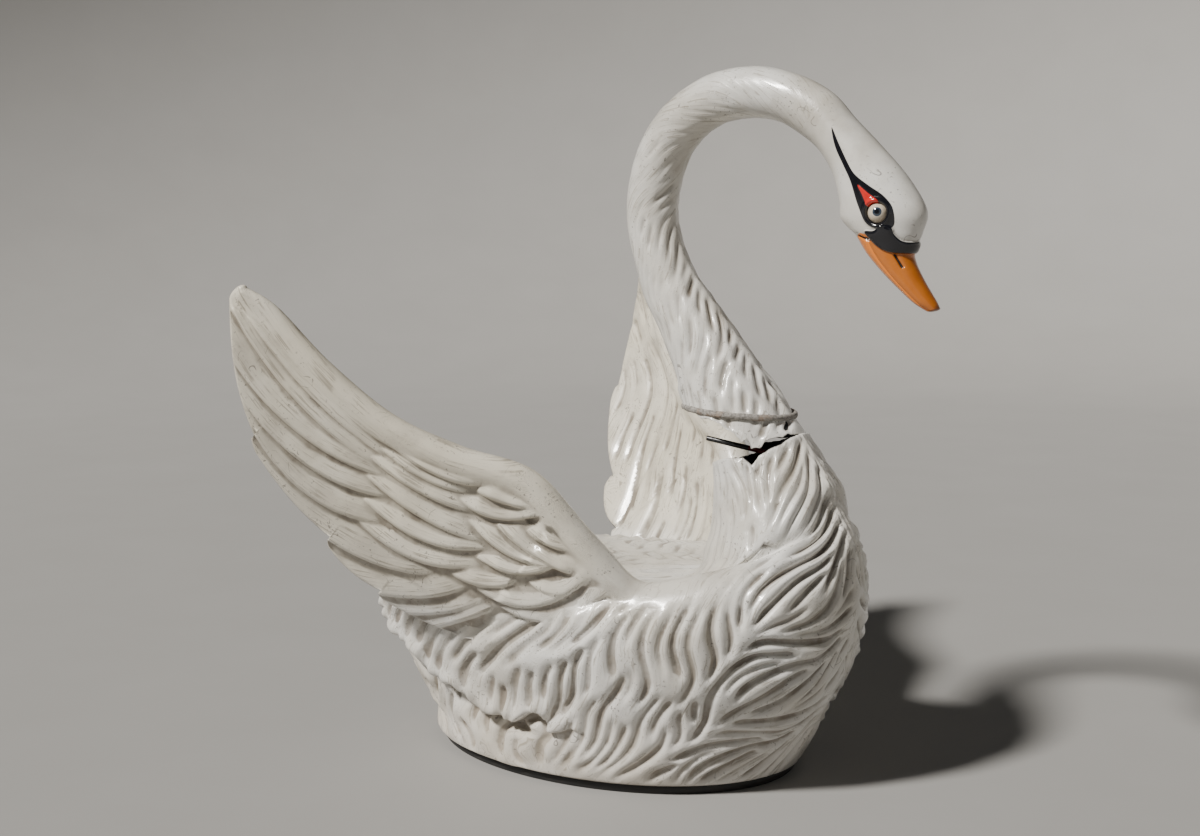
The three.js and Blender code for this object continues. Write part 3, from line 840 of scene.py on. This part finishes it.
def bead_path(count):
    """Where the neck's skin meets the sloping plane of the bead."""
    slope = (BEAD_NAPE[1] - BEAD_THROAT[1]) / (BEAD_NAPE[0] - BEAD_THROAT[0])
    angle = np.linspace(0, 2 * math.pi, count, endpoint=False)
    low = np.zeros(count)
    high = np.full(count, 0.2)
    for _ in range(40):
        t = 0.5 * (low + high)
        p = neck_surface(t, angle, 0 * t)
        over = p[:, 2] - BEAD_THROAT[1] - slope * (p[:, 0] - BEAD_THROAT[0]) > 0
        high = np.where(over, t, high)
        low = np.where(over, low, t)
    return neck_surface(0.5 * (low + high), angle, 0 * low)


def make_bead():
    lengths = 240
    strands = 18
    path = bead_path(lengths)
    middle = path.mean(axis=0)
    ahead = np.roll(path, -1, axis=0) - np.roll(path, 1, axis=0)
    ahead /= np.linalg.norm(ahead, axis=1, keepdims=True)
    out = path - middle
    out -= ahead * np.einsum("ij,ij->i", out, ahead)[:, None]
    out /= np.linalg.norm(out, axis=1, keepdims=True)
    up = np.cross(ahead, out)
    around = np.linspace(0, 2 * math.pi, strands, endpoint=False)
    i, j = np.meshgrid(np.arange(lengths), np.arange(strands), indexing="ij")
    rough = 0.8 * dice(i, j, 5) + 1.4 * ripple(i / 5.0, 6) + 1.2 * ripple(j / 2.0 + i / 9.0, 8)
    radius = BEAD_RADIUS - 2.6 + rough
    rope = path[:, None] + out[:, None] * (radius * np.cos(around))[..., None] * 0.85
    rope += up[:, None] * (radius * np.sin(around))[..., None]
    return loft("neck_joint_bead", np.concatenate([rope, rope[:1]]))


def make_tube():
    a = np.array(TUBE_FROM, float)
    b = np.array(TUBE_TO, float)
    along_tube = (b - a) / np.linalg.norm(b - a)
    side = np.cross(along_tube, (0, 0, 1))
    side /= np.linalg.norm(side)
    up = np.cross(side, along_tube)
    turn = np.linspace(0, 2 * math.pi, 32, endpoint=False)
    ring = side[None] * np.cos(turn)[:, None] + up[None] * np.sin(turn)[:, None]
    rows = []
    for step, radius in TUBE_END:
        rows.append(a + along_tube * step + ring * radius * TUBE_RADIUS)
    rows.append(b + ring * TUBE_RADIUS)
    rows.append(b + ring * 0)
    return loft("armature_tube", np.stack(rows))


def make_eye(name, side):
    bpy.ops.object.select_all(action="DESELECT")
    bpy.ops.mesh.primitive_uv_sphere_add(segments=48, ring_count=32, radius=EYE_RADIUS * MM)
    eye = bpy.context.object
    eye.name = name
    bpy.ops.object.mode_set(mode="EDIT")
    bpy.ops.mesh.select_all(action="SELECT")
    bpy.ops.transform.translate(value=(EYE_AT[0] * MM, side * EYE_AT[1] * MM, EYE_AT[2] * MM))
    bpy.ops.object.mode_set(mode="OBJECT")
    bpy.ops.object.shade_smooth()
    return eye


def make_board():
    turn = np.linspace(0, 2 * math.pi, 160, endpoint=False)
    ring = body_surface(0 * turn, turn, np.full_like(turn, -BOARD_INSET))
    rows = []
    for inset, z in BOARD_EDGE:
        row = ring * (1 - inset)
        row[:, 2] = z
        rows.append(row)
    return loft("base_board", np.stack(rows))


class Tone:
    """A value in a material, with arithmetic."""

    def __init__(self, tree, socket):
        self.tree = tree
        self.socket = socket

    def node(self, kind, settings, sockets, out=0):
        made = self.tree.nodes.new(kind)
        for key, value in settings.items():
            setattr(made, key, value)
        for key, value in sockets.items():
            if isinstance(value, Tone):
                self.tree.links.new(value.socket, made.inputs[key])
            else:
                made.inputs[key].default_value = value
        return Tone(self.tree, made.outputs[out])

    def into(self, paint, name):
        self.tree.links.new(self.socket, paint.inputs[name])

    def math(self, operation, a, b):
        return self.node("ShaderNodeMath", {"operation": operation}, {0: a, 1: b})

    def __add__(self, other):
        return self.math("ADD", self, other)

    def __radd__(self, other):
        return self.math("ADD", other, self)

    def __sub__(self, other):
        return self.math("SUBTRACT", self, other)

    def __rsub__(self, other):
        return self.math("SUBTRACT", other, self)

    def __mul__(self, other):
        return self.math("MULTIPLY", self, other)

    def __rmul__(self, other):
        return self.math("MULTIPLY", other, self)

    def step(self, low, high):
        """Rises from 0 to 1 between two values."""
        sockets = {0: self, 1: low, 2: high, 3: 0.0, 4: 1.0}
        return self.node("ShaderNodeMapRange", {"interpolation_type": "SMOOTHSTEP"}, sockets)

    def tint(self, first, second):
        return self.node("ShaderNodeMix", {"data_type": "RGBA"}, {0: self, 6: first, 7: second}, 2)

    def part(self, axis):
        return self.node("ShaderNodeSeparateXYZ", {}, {0: self}, axis)

    def away(self, spot):
        """Distance in metres from a spot given in millimetres."""
        metres = [v * MM for v in spot]
        return self.node("ShaderNodeVectorMath", {"operation": "DISTANCE"}, {0: self, 1: metres}, 1)

    def mark(self, name):
        """A value kept on the mesh."""
        return self.node("ShaderNodeAttribute", {"attribute_name": name}, {}, 2)

    def line(self, width):
        """Thin lines where a noise crosses its middle."""
        away = self.math("ABSOLUTE", self - 0.5, 0.0)
        return 1 - away.step(width, width * 2)

    def noise(self, size, detail=4.0, stretch=None):
        where = self
        if stretch:
            where = self.node("ShaderNodeMapping", {}, {"Vector": self, "Scale": stretch})
        sockets = {"Vector": where, "Scale": 1 / size, "Detail": detail, "Roughness": 0.6}
        return self.node("ShaderNodeTexNoise", {}, sockets)


def start_material(name):
    material = bpy.data.materials.new(name)
    material.use_nodes = True
    tree = material.node_tree
    paint = tree.nodes["Principled BSDF"]
    where = Tone(tree, tree.nodes.new("ShaderNodeTexCoord").outputs["Object"])
    return material, paint, where


def colour(r, g, b):
    return (r, g, b, 1.0)


def painted_white(name, face):
    material, paint, where = start_material(name)
    groove = where.mark("groove")
    lay = {0: where.mark("across") * 0.17, 1: where.mark("run") * 0.006}
    strand = where.node("ShaderNodeCombineXYZ", {}, lay)
    streak = strand.noise(1.0, 3.0) * (1 - groove.step(0.5, 3.0))
    cloud = where.noise(0.35, 3.0).step(0.35, 0.65)
    shade = cloud.tint(colour(0.62, 0.59, 0.525), colour(0.75, 0.74, 0.705))
    y = where.part(1)
    z = where.part(2)
    on_wing = (y * y).step(0.13, 0.22) * z.step(0.38, 0.52)
    shade = (on_wing * 0.6).tint(shade, colour(0.77, 0.70, 0.54))
    patchy = where.noise(0.06, 5.0)
    # Grime in the furrows and painted shade: the grooves are darkened brown to stand in for the shadow
    # under the edges of locks and feathers
    grime_and_painted_shade = groove.step(0.3, 4.2) * (0.5 + patchy.step(0.3, 0.7) * 0.5)
    shade = (grime_and_painted_shade * 0.88).tint(shade, colour(0.13, 0.10, 0.07))
    grimy = where.noise(0.13, 6.0).step(0.42, 0.70) * (0.45 + groove.step(-2.0, 3.0) * 0.55)
    shade = (grimy * 0.62).tint(shade, colour(0.33, 0.295, 0.24))
    # Painted shade: browner and darker towards the bottom, standing in for the shade near the floor
    low = (1 - z.step(0.02, 0.36)) * (0.5 + patchy * 0.5)
    shade = (low * 0.4).tint(shade, colour(0.37, 0.30, 0.22))
    brushed = streak.step(0.50, 0.64) * patchy.step(0.36, 0.58)
    shade = (brushed * 0.7).tint(shade, colour(0.27, 0.235, 0.18))
    worn = where.noise(0.15).step(0.52, 0.62)
    scratch = where.noise(0.055, 1.0).line(0.005) * worn * where.noise(0.025, 2.0).step(0.48, 0.56)
    specks = where.noise(0.008, 2.0).step(0.63, 0.68) * where.noise(0.09, 3.0).step(0.45, 0.6)
    wear = scratch * 0.7 + specks * 0.7
    shade = wear.node("ShaderNodeClamp", {}, {0: wear}).tint(shade, colour(0.13, 0.115, 0.10))
    rough = 0.27 + grime_and_painted_shade * 0.4 + patchy * 0.1
    if face:
        smear = where.noise(0.08, 5.0, (0.5, 1, 0.35)).step(0.5, 0.75) * z.step(1.3, 1.5)
        shade = (smear * 0.4).tint(shade, colour(0.36, 0.32, 0.25))
        tip = where.away(BILL_TIP)
        bill = 1 - where.mark("orange").step(-0.8, 0.8)
        black = 1 - where.mark("black").step(-0.8, 0.8)
        red = 1 - where.mark("red").step(-0.8, 0.8)
        slit = 1 - where.mark("slit").step(1.8, 3.0)
        bill_tone = where.noise(0.03).tint(colour(0.38, 0.10, 0.012), colour(0.52, 0.16, 0.018))
        bill_tone = (1 - where.mark("rim").step(0.32, 0.34)).tint(bill_tone, colour(0.70, 0.20, 0.022))
        bill_tone = (1 - tip.step(0.016, 0.024)).tint(bill_tone, colour(0.22, 0.07, 0.02))
        shade = bill.tint(shade, bill_tone)
        black_tone = where.noise(0.02).tint(colour(0.003, 0.0035, 0.006), colour(0.011, 0.011, 0.014))
        shade = black.tint(shade, black_tone)
        red_tone = where.noise(0.02, 3.0).tint(colour(0.52, 0.014, 0.012), colour(0.66, 0.03, 0.02))
        shade = red.tint(shade, red_tone)
        shade = slit.tint(shade, colour(0.012, 0.007, 0.005))
        rough = black.node("ShaderNodeMix", {"data_type": "FLOAT"}, {0: black, 2: rough, 3: 0.16})
    # Painted shade: the inside of the open stump and of the neck's shell is painted near-black
    painted_shade_inside = where.mark("painted_shade_inside").step(0.35, 0.65)
    shade = painted_shade_inside.tint(shade, colour(0.006, 0.0055, 0.005))
    rough = rough + painted_shade_inside * 0.5
    shade.into(paint, "Base Color")
    rough.into(paint, "Roughness")
    paint.inputs["Coat Weight"].default_value = 0.45
    paint.inputs["Coat Roughness"].default_value = 0.13
    grain = where.noise(0.012, 5.0) * 0.6 + where.noise(0.003, 2.0) * 0.2 + streak * 1.8
    bump = grain.node("ShaderNodeBump", {}, {"Strength": 0.35, "Distance": 0.0014, "Height": grain})
    bump.into(paint, "Normal")
    return material


def filler():
    material, paint, where = start_material("grey filler")
    fibre = where.noise(0.006, 5.0)
    shade = fibre.step(0.3, 0.7).tint(colour(0.13, 0.12, 0.11), colour(0.36, 0.34, 0.31))
    rust = where.noise(0.05, 3.0).step(0.52, 0.68)
    shade = (rust * 0.5).tint(shade, colour(0.25, 0.15, 0.09))
    shade.into(paint, "Base Color")
    paint.inputs["Roughness"].default_value = 0.95
    bump = fibre.node("ShaderNodeBump", {}, {"Strength": 0.7, "Distance": 0.002, "Height": fibre})
    bump.into(paint, "Normal")
    return material


def steel():
    material, paint, where = start_material("dark steel tube")
    x = where.part(0)
    worn = where.noise(0.01, 5.0).step(0.45, 0.75)
    shade = worn.tint(colour(0.012, 0.012, 0.013), colour(0.06, 0.058, 0.06))
    sleeve = x.step(0.424, 0.427)
    shade = sleeve.tint(shade, worn.tint(colour(0.12, 0.008, 0.01), colour(0.2, 0.02, 0.02)))
    shade.into(paint, "Base Color")
    (0.28 + worn * 0.3).into(paint, "Roughness")
    return material


def eye_paint(side):
    material, paint, where = start_material("painted eye")
    x, y, z = EYE_AT
    spot = (x + 0.31 * EYE_RADIUS, side * (y + 0.94 * EYE_RADIUS), z + 0.12 * EYE_RADIUS)
    apart = where.away(spot)
    cloud = where.noise(0.012)
    shade = cloud.tint(colour(0.50, 0.40, 0.28), colour(0.68, 0.60, 0.48))
    shade = (1 - apart.step(0.0128, 0.0136)).tint(shade, colour(0.62, 0.56, 0.47))
    blue = cloud.tint(colour(0.01, 0.014, 0.022), colour(0.05, 0.075, 0.11))
    shade = (1 - apart.step(0.0106, 0.0112)).tint(shade, blue)
    shade = (1 - apart.step(0.006, 0.0066)).tint(shade, colour(0.006, 0.007, 0.01))
    shade.into(paint, "Base Color")
    paint.inputs["Roughness"].default_value = 0.14
    paint.inputs["Coat Weight"].default_value = 0.6
    return material


def board_paint():
    material, paint, where = start_material("black board")
    dust = where.noise(0.05, 5.0).step(0.4, 0.75)
    shade = dust.tint(colour(0.008, 0.008, 0.008), colour(0.03, 0.027, 0.024))
    shade.into(paint, "Base Color")
    (0.55 + dust * 0.3).into(paint, "Roughness")
    return material


def fit(piece, node, material):
    piece.data.materials.clear()
    piece.data.materials.append(material)
    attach(piece, "root")
    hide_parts(node)


fit(make_swan_body(), "body_with_wings", painted_white("white shell paint", False))
fit(make_neck(), "neck_and_head", painted_white("white neck paint", True))
fit(make_bead(), "neck_joint_bead", filler())
fit(make_tube(), "armature_tube", steel())
fit(make_eye("right_eye", -1), "right_eye", eye_paint(-1))
fit(make_eye("left_eye", 1), "left_eye", eye_paint(1))
fit(make_board(), "base_board", board_paint())

# Floor with a backdrop all round, light and camera
around = np.linspace(0, 2 * math.pi, 96, endpoint=False)
sweep = [(0, 0), (FLOOR_REACH, 0)]
for bend in np.radians(range(9, 91, 9)):
    risen = BACKDROP_BEND * (1 - math.cos(bend))
    sweep.append((FLOOR_REACH + BACKDROP_BEND * math.sin(bend), risen))
rings = [np.stack([r * np.cos(around), r * np.sin(around), 0 * around + h], axis=1) for r, h in sweep]
floor = loft("studio_floor", np.stack(rings))
bpy.ops.object.mode_set(mode="EDIT")
bpy.ops.mesh.select_all(action="SELECT")
bpy.ops.mesh.normals_make_consistent(inside=True)
bpy.ops.object.mode_set(mode="OBJECT")
floor_material, floor_paint, floor_where = start_material("pale floor")
floor_tone = floor_where.noise(0.6).tint(colour(0.29, 0.283, 0.272), colour(0.32, 0.313, 0.302))
floor_tone.into(floor_paint, "Base Color")
floor_paint.inputs["Roughness"].default_value = 0.75
floor.data.materials.append(floor_material)
floor.visible_shadow = False

world = bpy.data.worlds.new("studio")
bpy.context.scene.world = world
world.use_nodes = True
sky = world.node_tree.nodes["Background"]
sky.inputs["Color"].default_value = colour(0.80, 0.82, 0.86)
sky.inputs["Strength"].default_value = 0.04


def light(name, kind, place, aim, power, tone):
    """A lamp at a place, in metres, turned towards an aim."""
    bpy.ops.object.light_add(type=kind, location=place)
    lamp = bpy.context.object
    lamp.name = name
    lamp.data.energy = power
    lamp.data.color = tone
    way = np.array(aim) - np.array(place)
    flat = math.hypot(way[0], way[1])
    lamp.rotation_euler = (math.atan2(flat, -way[2]), 0, math.atan2(way[1], way[0]) - math.pi / 2)
    return lamp.data


light("key", "SUN", (-1.46, -3.56, 4.58), (0, 0, 0.8), 6.0, (1, 0.97, 0.92)).angle = math.radians(8)
light("fill", "AREA", (3.6, -2.6, 2.4), (0.2, 0, 0.8), 6, (0.92, 0.95, 1)).size = 2.5

camera_turn = (math.radians(88), 0, math.radians(35))
bpy.ops.object.camera_add(location=(2.367, -3.450, 1.326), rotation=camera_turn)
camera = bpy.context.object
camera.data.sensor_width = 36
camera.data.lens = 48
camera.data.shift_y = -0.103
bpy.context.scene.camera = camera
